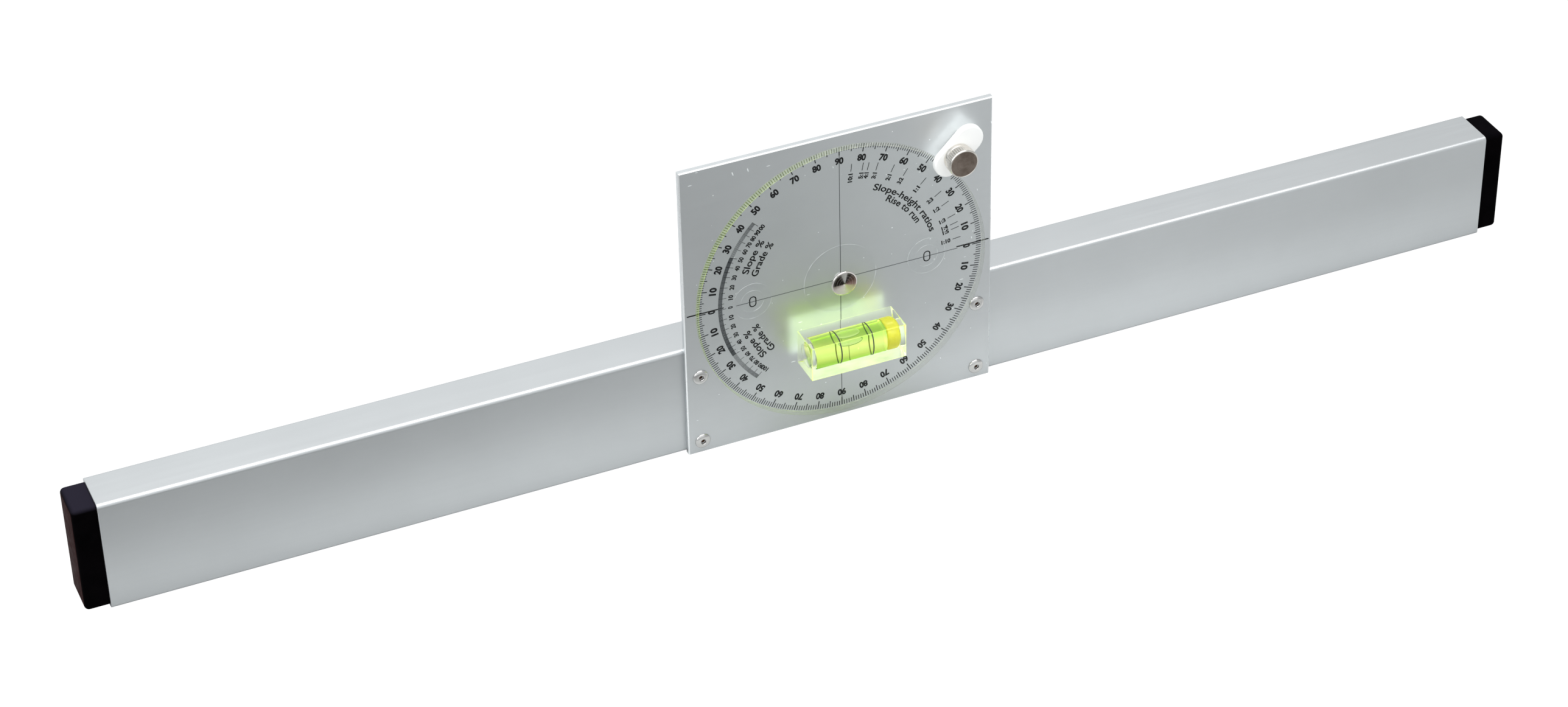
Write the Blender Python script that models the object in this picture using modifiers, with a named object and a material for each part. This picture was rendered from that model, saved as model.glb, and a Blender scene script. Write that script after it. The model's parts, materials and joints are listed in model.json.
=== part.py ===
"""Dial slope gauge: an aluminium level bar with a square backing plate, a clear
turning dial that carries a block vial, and a screw clamp that locks the dial.

Axes: +X along the bar, -Y towards the reader of the dial, +Z up.
Origin: centre of the bar's lower resting face. Metres.
"""
import math

import bmesh
import bpy
from mathutils import Matrix, Vector

MM = 0.001

# ---------------------------------------------------------------- dimensions
TUBE_L = 590.0          # cut length of the tube
TUBE_H = 48.0           # height of the tube section
TUBE_D = 20.0           # depth of the tube section
TUBE_WALL = 1.5
TUBE_R = 1.75           # outer edge radius of the tube

CAP_OUT = 9.5           # how far each end cap stands out
CAP_INSET = 1.0         # cap flange is this much smaller all round
CAP_PLUG = 14.0         # length of the plug inside the tube
CAP_R = 1.9

PLATE_S = 130.0         # square backing plate
PLATE_T = 2.5
PLATE_CH = 0.45         # front edge chamfer

DIAL_Z = 65.0           # dial axis height
DISC_R = 60.5
DISC_T = 3.0
DISC_GAP = 1.0          # plate face to disc

PIVOT_R = 2.5
PIVOT_HEAD_R = 5.35

VIAL_L = 40.0
VIAL_H = 15.0
VIAL_D = 14.0
VIAL_DROP = 24.1        # vial centre below the dial axis
BORE_R = 4.9
BORE_END = -17.0        # closed end of the vial's bore
RING_X = 6.7            # marker rings either side of the middle
BUBBLE_X = -1.9

RIVET_X = 59.0
RIVET_Z = (5.0, 35.5)

CLAMP_DIAG = 66.1       # clamp screw from the dial axis, on the diagonal
FINGER_DIAG = 68.0      # middle of the clamp finger from the dial axis
FINGER_L = 23.5
FINGER_W = 11.8
FINGER_T = 2.5
KNOB_R = 6.0
KNURLS = 40

# derived planes along Y
PLATE_BACK = -TUBE_D / 2
PLATE_FRONT = PLATE_BACK - PLATE_T
DISC_BACK = PLATE_FRONT - DISC_GAP
DISC_FRONT = DISC_BACK - DISC_T
GAP = 0.3

# ---------------------------------------------------------------- scene reset
for ob in list(bpy.data.objects):
    bpy.data.objects.remove(ob, do_unlink=True)

scene = bpy.context.scene
parts = bpy.data.collections.new("dial_slope_gauge")
cutters = bpy.data.collections.new("cutters")
scene.collection.children.link(parts)
scene.collection.children.link(cutters)


def material(name, colour, rough, metal=0.0, alpha=1.0):
    m = bpy.data.materials.new(name)
    m.use_nodes = True
    b = m.node_tree.nodes["Principled BSDF"]
    b.inputs["Base Color"].default_value = (*colour, 1.0)
    b.inputs["Roughness"].default_value = rough
    b.inputs["Metallic"].default_value = metal
    b.inputs["Alpha"].default_value = alpha
    m.diffuse_color = (*colour, alpha)
    return m


# ---------------------------------------------------------------- helpers
def link(ob, coll, mat=None):
    coll.objects.link(ob)
    if mat is not None:
        ob.data.materials.append(mat)
    if coll is cutters:
        ob.hide_render = True
        ob.display_type = "WIRE"
    return ob


def from_bm(bm, name, coll, mat=None, origin=(0, 0, 0), smooth=None):
    """Mesh object whose origin sits at origin (mm); geometry is given in world mm."""
    bmesh.ops.recalc_face_normals(bm, faces=bm.faces)
    o = Vector(origin)
    for v in bm.verts:
        v.co = (v.co - o) * MM
    if bm.calc_volume(signed=True) < 0:
        bmesh.ops.reverse_faces(bm, faces=bm.faces)
    me = bpy.data.meshes.new(name)
    bm.to_mesh(me)
    bm.free()
    if smooth is not None:
        me.polygons.foreach_set("use_smooth", [True] * len(me.polygons))
        me.set_sharp_from_angle(angle=math.radians(smooth))
    ob = bpy.data.objects.new(name, me)
    ob.location = o * MM
    return link(ob, coll, mat)


def cube_bm(x0, x1, y0, y1, z0, z1):
    bm = bmesh.new()
    bmesh.ops.create_cube(bm, size=1.0)
    for v in bm.verts:
        v.co = Vector((
            x0 + (v.co.x + 0.5) * (x1 - x0),
            y0 + (v.co.y + 0.5) * (y1 - y0),
            z0 + (v.co.z + 0.5) * (z1 - z0)))
    return bm


def edges_where(bm, test):
    return [e for e in bm.edges if test(e.verts[0].co, e.verts[1].co)]


def bevel(bm, edges, width, seg):
    bmesh.ops.bevel(bm, geom=edges, offset=width, offset_type="OFFSET",
                    segments=seg, profile=0.5, affect="EDGES", clamp_overlap=True)


def bar(name, coll, mat, box, radius, seg=4, origin=(0, 0, 0)):
    """Block with its four X-running edges rounded."""
    bm = cube_bm(*box)
    es = edges_where(bm, lambda a, b: abs(a.y - b.y) < 1e-6 and abs(a.z - b.z) < 1e-6)
    bevel(bm, es, radius, seg)
    return from_bm(bm, name, coll, mat, origin, smooth=35)


def block(name, coll, mat, box, origin=(0, 0, 0)):
    return from_bm(cube_bm(*box), name, coll, mat, origin)


def rod(name, coll, mat, centre, axis, radius, half, seg=32, smooth=35):
    """Plain cylinder, centre and half length in mm."""
    bm = bmesh.new()
    bmesh.ops.create_cone(bm, cap_ends=True, cap_tris=False, segments=seg,
                          radius1=radius, radius2=radius, depth=2 * half)
    rot = Vector((0, 0, 1)).rotation_difference(Vector(axis)).to_matrix().to_4x4()
    bmesh.ops.transform(bm, matrix=Matrix.Translation(Vector(centre)) @ rot, verts=bm.verts)
    return from_bm(bm, name, coll, mat, (0, 0, 0), smooth=smooth)


def lathe(name, coll, mat, centre, profile, seg=40, closed=False, axis="-Y", smooth=35):
    """Turn a profile of (radius, height) mm about an axis through centre.

    The profile lies at +X and runs down its outer side. Height points along axis.
    """
    me = bpy.data.meshes.new(name)
    bm = bmesh.new()
    vs = [bm.verts.new((r * MM, 0, h * MM)) for r, h in profile]
    for a, b in zip(vs, vs[1:]):
        bm.edges.new((a, b))
    if closed:
        bm.edges.new((vs[-1], vs[0]))
    bm.to_mesh(me)
    bm.free()
    ob = bpy.data.objects.new(name, me)
    ob.location = Vector(centre) * MM
    if axis == "-Y":
        ob.rotation_euler = (math.pi / 2, 0, 0)
    elif axis == "+X":
        ob.rotation_euler = (0, math.pi / 2, 0)
    link(ob, coll, mat)
    s = ob.modifiers.new("turn", "SCREW")
    s.axis = "Z"
    s.angle = 2 * math.pi
    s.steps = seg
    s.render_steps = seg
    s.use_merge_vertices = True
    s.merge_threshold = 0.00001
    s.use_smooth_shade = True
    return ob


def cut(ob, cutter, op="DIFFERENCE"):
    m = ob.modifiers.new(cutter.name, "BOOLEAN")
    m.operation = op
    m.solver = "EXACT"
    m.object = cutter
    return ob


def stadium_bm(centre, angle, length, width, y0, y1, seg=40):
    """Slot-shaped prism in the XZ plane between y0 and y1."""
    bm = bmesh.new()
    r = width / 2
    step = math.pi / seg
    bmesh.ops.create_circle(bm, cap_ends=True, segments=seg, radius=r,
                            matrix=Matrix.Rotation(step, 4, "Z"))
    h = (length - width) / 2
    for v in bm.verts:
        v.co.x += h if v.co.x > 0 else -h
    ret = bmesh.ops.extrude_face_region(bm, geom=bm.faces[:])
    up = [g for g in ret["geom"] if isinstance(g, bmesh.types.BMVert)]
    for v in up:
        v.co.z += abs(y1 - y0)
    # local x,y -> world x,z ; local z -> world -y
    ca, sa = math.cos(angle), math.sin(angle)
    for v in bm.verts:
        x, y, z = v.co
        v.co = Vector((centre[0] + ca * x - sa * y, max(y0, y1) - z,
                       centre[1] + sa * x + ca * y))
    bmesh.ops.recalc_face_normals(bm, faces=bm.faces)
    return bm


def stack(name, coll, mat, centre, rings, seg, phase=0.0, smooth=30):
    """Closed body built ring by ring along -Y from centre.

    rings: (height, even radius, odd radius), in mm, back to front.
    """
    bm = bmesh.new()
    h0, ra, rb = rings[0]
    bmesh.ops.create_circle(bm, cap_ends=True, segments=seg, radius=1.0,
                            matrix=Matrix.Rotation(phase, 4, "Z"))
    face = bm.faces[:][0]

    def place(f, h, a, b):
        for v in f.verts:
            t = math.atan2(v.co.y, v.co.x) - phase
            k = round(t / (2 * math.pi / seg))
            rr = a if k % 2 == 0 else b
            d = math.hypot(v.co.x, v.co.y)
            v.co.x *= rr / d
            v.co.y *= rr / d
            v.co.z = h

    place(face, h0, ra, rb)
    cur = face
    for n, (h, a, b) in enumerate(rings[1:]):
        ret = bmesh.ops.extrude_face_region(bm, geom=[cur], use_keep_orig=True)
        nf = [g for g in ret["geom"] if isinstance(g, bmesh.types.BMFace)][0]
        if n:
            bmesh.ops.delete(bm, geom=[cur], context="FACES_ONLY")
        place(nf, h, a, b)
        cur = nf
    for v in bm.verts:
        x, y, z = v.co
        v.co = Vector((centre[0] + x, centre[1] - z, centre[2] + y))
    return from_bm(bm, name, coll, mat, centre, smooth=smooth)


# ---------------------------------------------------------------- materials
M_TUBE = material("anodised_tube", (0.62, 0.64, 0.65), 0.34, 1.0)
M_PLATE = material("anodised_plate", (0.56, 0.58, 0.59), 0.26, 1.0)
M_CAP = material("black_plastic", (0.012, 0.010, 0.012), 0.38)
M_RIVET = material("rivet_alloy", (0.78, 0.78, 0.77), 0.28, 1.0)
M_MANDREL = material("mandrel_steel", (0.32, 0.24, 0.18), 0.5, 1.0)
M_DISC = material("clear_acrylic", (0.93, 0.96, 0.92), 0.05, 0.0, 0.3)
M_VIAL = material("vial_acrylic", (0.90, 0.97, 0.72), 0.04, 0.0, 0.35)
M_LIQ = material("vial_liquid_green", (0.72, 0.90, 0.10), 0.05, 0.0, 0.6)
M_BUB = material("bubble_air", (0.93, 0.98, 0.85), 0.05, 0.0, 0.35)
M_PLUG = material("yellow_plug", (0.90, 0.84, 0.05), 0.3)
M_RING = material("ring_black", (0.02, 0.03, 0.02), 0.4)
M_NICKEL = material("nickel_plate", (0.66, 0.62, 0.57), 0.22, 1.0)
M_STEEL = material("zinc_steel", (0.60, 0.61, 0.62), 0.35, 1.0)
M_CLEAR = material("clear_washer", (0.90, 0.93, 0.93), 0.2, 0.0, 0.3)
M_WHITE = material("white_nylon", (0.92, 0.93, 0.91), 0.4)

# ---------------------------------------------------------------- level bar
tube = bar("beam_tube", parts, M_TUBE,
           (-TUBE_L / 2, TUBE_L / 2, -TUBE_D / 2, TUBE_D / 2, 0, TUBE_H), TUBE_R, 4)
hollow = bar("cut_tube_hollow", cutters, None,
             (-TUBE_L / 2 - 5, TUBE_L / 2 + 5, -TUBE_D / 2 + TUBE_WALL,
              TUBE_D / 2 - TUBE_WALL, TUBE_WALL, TUBE_H - TUBE_WALL), 0.6, 2)
cut(tube, hollow)

# end caps: flange outside, hollow plug inside the tube
for side, tag in ((-1, "left"), (1, "right")):
    xe = side * TUBE_L / 2
    xa, xb = xe + side * 0.1, xe + side * CAP_OUT
    bm = cube_bm(min(xa, xb), max(xa, xb),
                 -TUBE_D / 2 + CAP_INSET, TUBE_D / 2 - CAP_INSET,
                 CAP_INSET, TUBE_H - CAP_INSET)
    outer = xb
    es = edges_where(bm, lambda a, b: not (abs(a.x - xa) < 1e-6 and abs(b.x - xa) < 1e-6))
    bevel(bm, es, CAP_R, 4)
    cap = from_bm(bm, "end_cap_" + tag, parts, M_CAP, (0, 0, 0), smooth=40)
    c = TUBE_WALL + 0.3
    px0, px1 = xe - side * CAP_PLUG, xe + side * 0.6
    plug = bar("join_cap_plug_" + tag, cutters, None,
               (min(px0, px1), max(px0, px1), -TUBE_D / 2 + c, TUBE_D / 2 - c,
                c, TUBE_H - c), 0.5, 2)
    cut(cap, plug, "UNION")
    px2, px3 = xe - side * (CAP_PLUG + 2), xe - side * 1.5
    pocket = bar("cut_cap_pocket_" + tag, cutters, None,
                 (min(px2, px3), max(px2, px3), -TUBE_D / 2 + c + 1.6, TUBE_D / 2 - c - 1.6,
                  c + 1.6, TUBE_H - c - 1.6), 0.5, 2)
    cut(cap, pocket)

# ---------------------------------------------------------------- backing plate
bm = cube_bm(-PLATE_S / 2, PLATE_S / 2, PLATE_FRONT, PLATE_BACK, 0, PLATE_S)
es = edges_where(bm, lambda a, b: abs(a.y - PLATE_FRONT) < 1e-6 and abs(b.y - PLATE_FRONT) < 1e-6
                 and not (abs(a.z) < 1e-6 and abs(b.z) < 1e-6))
bevel(bm, es, PLATE_CH, 1)
plate = from_bm(bm, "dial_plate", parts, M_PLATE)

cx = CLAMP_DIAG * math.cos(math.pi / 4)
cz = DIAL_Z + CLAMP_DIAG * math.sin(math.pi / 4)
mid_y = (PLATE_FRONT + PLATE_BACK) / 2
cut(plate, rod("cut_plate_pivot", cutters, None, (0, mid_y, DIAL_Z), (0, 1, 0), PIVOT_R + 0.05, 4))
cut(plate, rod("cut_plate_clamp", cutters, None, (cx, mid_y, cz), (0, 1, 0), 2.1, 4))
for i, (sx, zz) in enumerate(((-1, RIVET_Z[0]), (1, RIVET_Z[0]), (-1, RIVET_Z[1]), (1, RIVET_Z[1])), 1):
    x = sx * RIVET_X
    hole = rod("cut_rivet_%d" % i, cutters, None, (x, PLATE_BACK, zz), (0, 1, 0), 1.65, 5, seg=24)
    cut(plate, hole)
    cut(tube, hole)
    # blind rivet: domed head, shank, upset end; heights run towards the reader from the plate face
    lathe("rivet_%d" % i, parts, M_RIVET, (x, PLATE_FRONT, zz), [
        (1.35, 0.95), (2.0, 0.92), (2.7, 0.68), (3.15, 0.30), (3.2, 0.04), (1.6, 0.04),
        (1.6, -4.05), (2.3, -4.35), (2.35, -5.6), (1.9, -6.6), (1.0, -6.6), (1.0, 0.70)],
        seg=24, closed=True)
    lathe("rivet_mandrel_%d" % i, parts, M_MANDREL, (x, PLATE_FRONT, zz), [
        (0, 0.15), (0.7, 0.1), (0.92, -0.15), (0.92, -6.65), (1.45, -6.9), (1.45, -7.7), (0.9, -8.3), (0, -8.45)],
        seg=16)

# ---------------------------------------------------------------- pivot hardware
clip = PLATE_FRONT - GAP
lathe("friction_washer", parts, M_CLEAR, (0, clip, DIAL_Z), [
    (15.2, 0.4), (15.2, 0.0), (2.7, 0.0), (2.7, 0.4)], seg=56, closed=True)
head0 = DISC_FRONT - GAP
lathe("pivot_screw", parts, M_NICKEL, (0, head0, DIAL_Z), [
    (0, 1.2), (0.55, 1.2), (0.8, 1.32), (5.0, 1.02), (PIVOT_HEAD_R, 0.75), (PIVOT_HEAD_R, 0.0),
    (PIVOT_R, 0.0), (PIVOT_R, head0 + 2.9), (PIVOT_R - 0.4, head0 + 2.5), (0, head0 + 2.5)],
    seg=48)
lathe("pivot_washer", parts, M_STEEL, (0, PLATE_BACK + 0.1, DIAL_Z), [
    (6.0, 0.0), (6.0, -0.9), (2.6, -0.9), (2.6, 0.0)], seg=36, closed=True)
lathe("pivot_spring_washer", parts, M_STEEL, (0, PLATE_BACK + 1.15, DIAL_Z), [
    (5.2, 0.0), (5.2, -0.35), (2.6, -0.85), (2.6, -0.5)], seg=36, closed=True)
nut = stack("pivot_lock_nut", parts, M_STEEL, (0, PLATE_BACK + 6.3, DIAL_Z),
            [(0, 3.7, 3.7), (1.4, 3.7, 3.7), (1.4, 4.62, 4.62), (4.1, 4.62, 4.62)], 6, smooth=20)
cut(nut, rod("cut_pivot_nut", cutters, None, (0, PLATE_BACK + 4.3, DIAL_Z), (0, 1, 0), PIVOT_R + 0.05, 4))
for sx, tag in ((-1, "left"), (1, "right")):
    lathe("glide_pad_" + tag, parts, M_CLEAR, (sx * 36.8, clip, DIAL_Z), [
        (8.0, 0.4), (8.0, 0.0), (4.8, 0.0), (4.8, 0.4)], seg=40, closed=True)

# ---------------------------------------------------------------- dial
disc = lathe("dial_disc", parts, M_DISC, (0, DISC_BACK, DIAL_Z), [
    (DISC_R - 0.15, DISC_T), (DISC_R, DISC_T - 0.15), (DISC_R, 0.15), (DISC_R - 0.15, 0.0),
    (PIVOT_R + 0.08, 0.0), (PIVOT_R + 0.08, DISC_T)], seg=144, closed=True)

vy0 = DISC_FRONT - 0.1
vyc = vy0 - VIAL_D / 2
vzc = DIAL_Z - VIAL_DROP
dial_origin = (0, DISC_BACK, DIAL_Z)
bm = cube_bm(-VIAL_L / 2, VIAL_L / 2, vy0 - VIAL_D, vy0, vzc - VIAL_H / 2, vzc + VIAL_H / 2)
bevel(bm, bm.edges[:], 0.3, 1)
vial = from_bm(bm, "vial_block", parts, M_VIAL, dial_origin)
cut(vial, rod("cut_vial_bore", cutters, None, ((VIAL_L / 2 + 3 + BORE_END) / 2, vyc, vzc), (1, 0, 0),
              BORE_R, (VIAL_L / 2 + 3 - BORE_END) / 2, seg=40))

lx0, lx1 = BORE_END + 0.1, 12.4
liq = rod("vial_liquid", parts, M_LIQ, ((lx0 + lx1) / 2, vyc, vzc), (1, 0, 0), BORE_R - 0.35,
          (lx1 - lx0) / 2, seg=40)


def egg(name, coll, mat, c, semi):
    bm = bmesh.new()
    bmesh.ops.create_uvsphere(bm, u_segments=24, v_segments=12, radius=1.0)
    for v in bm.verts:
        v.co = Vector((c[0] + v.co.z * semi[0], c[1] + v.co.x * semi[1], c[2] + v.co.y * semi[2]))
    return from_bm(bm, name, coll, mat, (0, 0, 0), smooth=80)


egg("vial_bubble", parts, M_BUB, (BUBBLE_X, vyc, vzc + 3.15), (5.0, 2.5, 1.2))
cut(liq, egg("cut_liquid_bubble", cutters, None, (BUBBLE_X, vyc, vzc + 3.45), (5.3, 2.85, 1.8)))
for sx, tag in ((-1, "left"), (1, "right")):
    lathe("vial_ring_" + tag, parts, M_RING, (sx * RING_X, vyc, vzc), [
        (BORE_R - 0.05, 0.2), (BORE_R - 0.05, -0.2), (BORE_R - 0.3, -0.2), (BORE_R - 0.3, 0.2)],
        seg=40, closed=True, axis="+X")
lathe("vial_plug", parts, M_PLUG, (12.7, vyc, vzc), [
    (0, 6.0), (3.4, 6.0), (4.0, 5.6), (4.75, 4.6), (4.8, 0.5), (4.4, 0.0), (0, 0.0)],
    seg=36, axis="+X")

# ---------------------------------------------------------------- dial clamp
fa = math.pi / 4
fy0 = DISC_FRONT - GAP
fc = (FINGER_DIAG * math.cos(fa), DIAL_Z + FINGER_DIAG * math.sin(fa))
fbm = stadium_bm(fc, fa, FINGER_L, FINGER_W, fy0 - FINGER_T, fy0)
front = fy0 - FINGER_T
bevel(fbm, edges_where(fbm, lambda a, b: abs(a.y - front) < 1e-6 and abs(b.y - front) < 1e-6), 0.5, 2)
finger = from_bm(fbm, "clamp_finger", parts, M_WHITE, (cx, fy0, cz), smooth=40)
h0, h1 = DISC_R + 1.6, FINGER_DIAG + FINGER_L / 2 - 1.0
hc = ((h0 + h1) / 2 * math.cos(fa), DIAL_Z + (h0 + h1) / 2 * math.sin(fa))
heel = from_bm(stadium_bm(hc, fa, h1 - h0, FINGER_W - 2.0, fy0 - 1.0, PLATE_FRONT - GAP),
               "join_finger_heel", cutters)
cut(finger, heel, "UNION")
cut(finger, rod("cut_finger_screw", cutters, None, (cx, (front + PLATE_FRONT) / 2, cz), (0, 1, 0), 2.1, 8))

k0 = front - 0.1
kr = KNOB_R
s_end = -(abs(k0) - 4.6)
rings = [(s_end, 1.6, 1.6), (s_end + 0.4, 2.0, 2.0), (0.0, 2.0, 2.0), (0.0001, 5.5, 5.5), (0.25, 5.75, 5.75), (1.7, 5.75, 5.75),
         (1.95, kr - 0.32, kr), (5.6, kr - 0.32, kr), (6.0, 5.6, 5.75), (6.15, 5.45, 5.45)]
stack("clamp_knob", parts, M_NICKEL, (cx, k0, cz), rings, KNURLS * 2, smooth=25)
cn = stack("clamp_nut", parts, M_STEEL, (cx, PLATE_BACK + 3.3, cz),
           [(0, 3.8, 3.8), (0.3, 4.04, 4.04), (3.2, 4.04, 4.04)], 6, smooth=20)
cut(cn, rod("cut_clamp_nut", cutters, None, (cx, PLATE_BACK + 1.7, cz), (0, 1, 0), 2.07, 4))
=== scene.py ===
import json
import math

import bmesh
import bpy
from mathutils import Matrix, Vector

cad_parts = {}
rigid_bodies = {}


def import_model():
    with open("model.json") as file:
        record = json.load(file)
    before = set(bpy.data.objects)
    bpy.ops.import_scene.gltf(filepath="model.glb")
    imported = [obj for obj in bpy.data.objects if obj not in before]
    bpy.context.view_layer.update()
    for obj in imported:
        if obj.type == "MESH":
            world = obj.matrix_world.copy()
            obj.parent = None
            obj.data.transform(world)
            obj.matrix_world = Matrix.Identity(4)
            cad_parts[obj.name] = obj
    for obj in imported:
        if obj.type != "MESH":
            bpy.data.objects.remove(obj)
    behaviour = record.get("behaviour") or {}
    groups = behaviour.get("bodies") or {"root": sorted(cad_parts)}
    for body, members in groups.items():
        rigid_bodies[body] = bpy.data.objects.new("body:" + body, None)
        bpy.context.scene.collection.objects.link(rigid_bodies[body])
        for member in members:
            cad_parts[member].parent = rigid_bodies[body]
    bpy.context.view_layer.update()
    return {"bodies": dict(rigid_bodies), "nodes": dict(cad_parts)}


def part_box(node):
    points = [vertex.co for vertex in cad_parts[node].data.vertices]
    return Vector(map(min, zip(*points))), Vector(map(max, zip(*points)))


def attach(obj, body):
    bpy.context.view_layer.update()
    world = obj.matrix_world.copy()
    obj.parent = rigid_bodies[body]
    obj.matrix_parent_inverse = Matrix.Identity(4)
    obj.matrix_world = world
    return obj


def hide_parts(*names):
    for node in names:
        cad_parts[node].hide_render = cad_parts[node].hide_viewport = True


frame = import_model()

MM = 0.001
scene = bpy.context.scene
NODES = frame["nodes"]
PI = math.pi


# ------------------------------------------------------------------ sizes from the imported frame, in mm
def nbox(name):
    lo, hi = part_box(name)
    return [v * 1000 for v in lo], [v * 1000 for v in hi]


TB0, TB1 = nbox("beam_tube")
PL0, PL1 = nbox("dial_plate")
DD0, DD1 = nbox("dial_disc")
VB0, VB1 = nbox("vial_block")
KN0, KN1 = nbox("clamp_knob")
FG0, FG1 = nbox("clamp_finger")
PS0, PS1 = nbox("pivot_screw")
CZ = (DD0[2] + DD1[2]) / 2            # dial axis height
CX = (DD0[0] + DD1[0]) / 2
DR = (DD1[0] - DD0[0]) / 2            # disc radius
DISC_BACK, DISC_FRONT = DD1[1], DD0[1]
PLATE_FRONT, PLATE_BACK = PL0[1], PL1[1]


# ------------------------------------------------------------------ node helpers
def new_mat(name):
    m = bpy.data.materials.new(name)
    m.use_nodes = True
    nt = m.node_tree
    p = nt.nodes["Principled BSDF"]
    return m, nt, p


def coords(nt, scale=(1, 1, 1)):
    tc = nt.nodes.new("ShaderNodeTexCoord")
    mp = nt.nodes.new("ShaderNodeMapping")
    mp.inputs["Scale"].default_value = scale
    nt.links.new(tc.outputs["Object"], mp.inputs["Vector"])
    return mp.outputs["Vector"]


def noise(nt, vec, scale, detail=3.0, rough=0.55, dist=0.0):
    n = nt.nodes.new("ShaderNodeTexNoise")
    n.inputs["Scale"].default_value = scale
    n.inputs["Detail"].default_value = detail
    n.inputs["Roughness"].default_value = rough
    n.inputs["Distortion"].default_value = dist
    nt.links.new(vec, n.inputs["Vector"])
    return n.outputs["Fac"]


def ramp(nt, fac, stops):
    r = nt.nodes.new("ShaderNodeValToRGB")
    e = r.color_ramp.elements
    e[0].position, e[0].color = stops[0][0], (*stops[0][1], 1)
    e[1].position, e[1].color = stops[-1][0], (*stops[-1][1], 1)
    for pos, col in stops[1:-1]:
        k = e.new(pos)
        k.color = (*col, 1)
    nt.links.new(fac, r.inputs["Fac"])
    return r.outputs["Color"]


def remap(nt, fac, a, b, c, d):
    r = nt.nodes.new("ShaderNodeMapRange")
    for k, v in zip(("From Min", "From Max", "To Min", "To Max"), (a, b, c, d)):
        r.inputs[k].default_value = v
    nt.links.new(fac, r.inputs["Value"])
    return r.outputs["Result"]


def mixc(nt, fac, a, b, mode="MIX"):
    m = nt.nodes.new("ShaderNodeMix")
    m.data_type = "RGBA"
    m.blend_type = mode
    if isinstance(fac, (int, float)):
        m.inputs[0].default_value = fac
    else:
        nt.links.new(fac, m.inputs[0])
    for sock, v in ((m.inputs[6], a), (m.inputs[7], b)):
        if isinstance(v, tuple):
            sock.default_value = (*v, 1)
        else:
            nt.links.new(v, sock)
    return m.outputs[2]


def math_node(nt, op, a, b=None):
    m = nt.nodes.new("ShaderNodeMath")
    m.operation = op
    for i, v in enumerate((a, b)):
        if v is None:
            continue
        if isinstance(v, (int, float)):
            m.inputs[i].default_value = v
        else:
            nt.links.new(v, m.inputs[i])
    return m.outputs[0]


def bump(nt, p, height, strength, dist=0.0001):
    b = nt.nodes.new("ShaderNodeBump")
    b.inputs["Strength"].default_value = strength
    b.inputs["Distance"].default_value = dist
    nt.links.new(height, b.inputs["Height"])
    nt.links.new(b.outputs["Normal"], p.inputs["Normal"])


def shade(c, k):
    return tuple(min(1.0, v * k) for v in c)


# ------------------------------------------------------------------ materials
def metal(name, base, rough, var=0.05, scale=40, stretch=(1, 1, 1), rvar=0.05, grain=0.0,
          grain_scale=400, specks=False, aniso=0.0):
    """Metal with soft tone changes, uneven gloss and, where asked, fine drawing lines and nicks."""
    m, nt, p = new_mat(name)
    v = coords(nt)
    vs = coords(nt, stretch)
    cloud = noise(nt, v, scale, 3, 0.6)
    col = ramp(nt, cloud, [(0.3, shade(base, 1 - var)), (0.7, shade(base, 1 + var))])
    lines = noise(nt, vs, grain_scale, 2, 0.6)
    rough_v = remap(nt, lines, 0.3, 0.7, rough - rvar, rough + rvar)
    if specks:
        sep0 = nt.nodes.new("ShaderNodeSeparateXYZ")
        nt.links.new(v, sep0.inputs[0])

        def marks_on(sx_, sz_, size, share, skew=0.0):
            """Sparse marks in the XZ plane: one per cell at most."""
            cb = nt.nodes.new("ShaderNodeCombineXYZ")
            x = math_node(nt, "ADD", sep0.outputs["X"], math_node(nt, "MULTIPLY", sep0.outputs["Z"], skew))
            nt.links.new(math_node(nt, "MULTIPLY", x, sx_), cb.inputs[0])
            nt.links.new(math_node(nt, "MULTIPLY", sep0.outputs["Z"], sz_), cb.inputs[1])
            vo = nt.nodes.new("ShaderNodeTexVoronoi")
            vo.voronoi_dimensions = "2D"
            vo.inputs["Scale"].default_value = 1.0
            nt.links.new(cb.outputs[0], vo.inputs["Vector"])
            sep = nt.nodes.new("ShaderNodeSeparateColor")
            nt.links.new(vo.outputs["Color"], sep.inputs["Color"])
            few = math_node(nt, "LESS_THAN", sep.outputs["Red"], share)
            lim = math_node(nt, "MULTIPLY", sep.outputs["Green"], size)
            return math_node(nt, "MULTIPLY", math_node(nt, "LESS_THAN", vo.outputs["Distance"], lim), few)
        marks = math_node(nt, "MAXIMUM", marks_on(110, 110, 0.030, 0.5), marks_on(150, 40, 0.035, 0.22, 0.25))
        marks = math_node(nt, "MAXIMUM", marks, marks_on(30, 160, 0.030, 0.15, -0.3))
        col = mixc(nt, marks, col, (0.95, 0.97, 0.98))
        rough_v = math_node(nt, "ADD", rough_v, math_node(nt, "MULTIPLY", marks, 0.25))
    nt.links.new(col, p.inputs["Base Color"])
    nt.links.new(rough_v, p.inputs["Roughness"])
    p.inputs["Metallic"].default_value = 1.0
    p.inputs["Anisotropic"].default_value = aniso
    if aniso:
        t = nt.nodes.new("ShaderNodeTangent")
        t.direction_type = "RADIAL"
        t.axis = "Y"
        nt.links.new(t.outputs["Tangent"], p.inputs["Tangent"])
    if grain:
        bump(nt, p, lines, grain, 0.00005)
    return m


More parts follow.
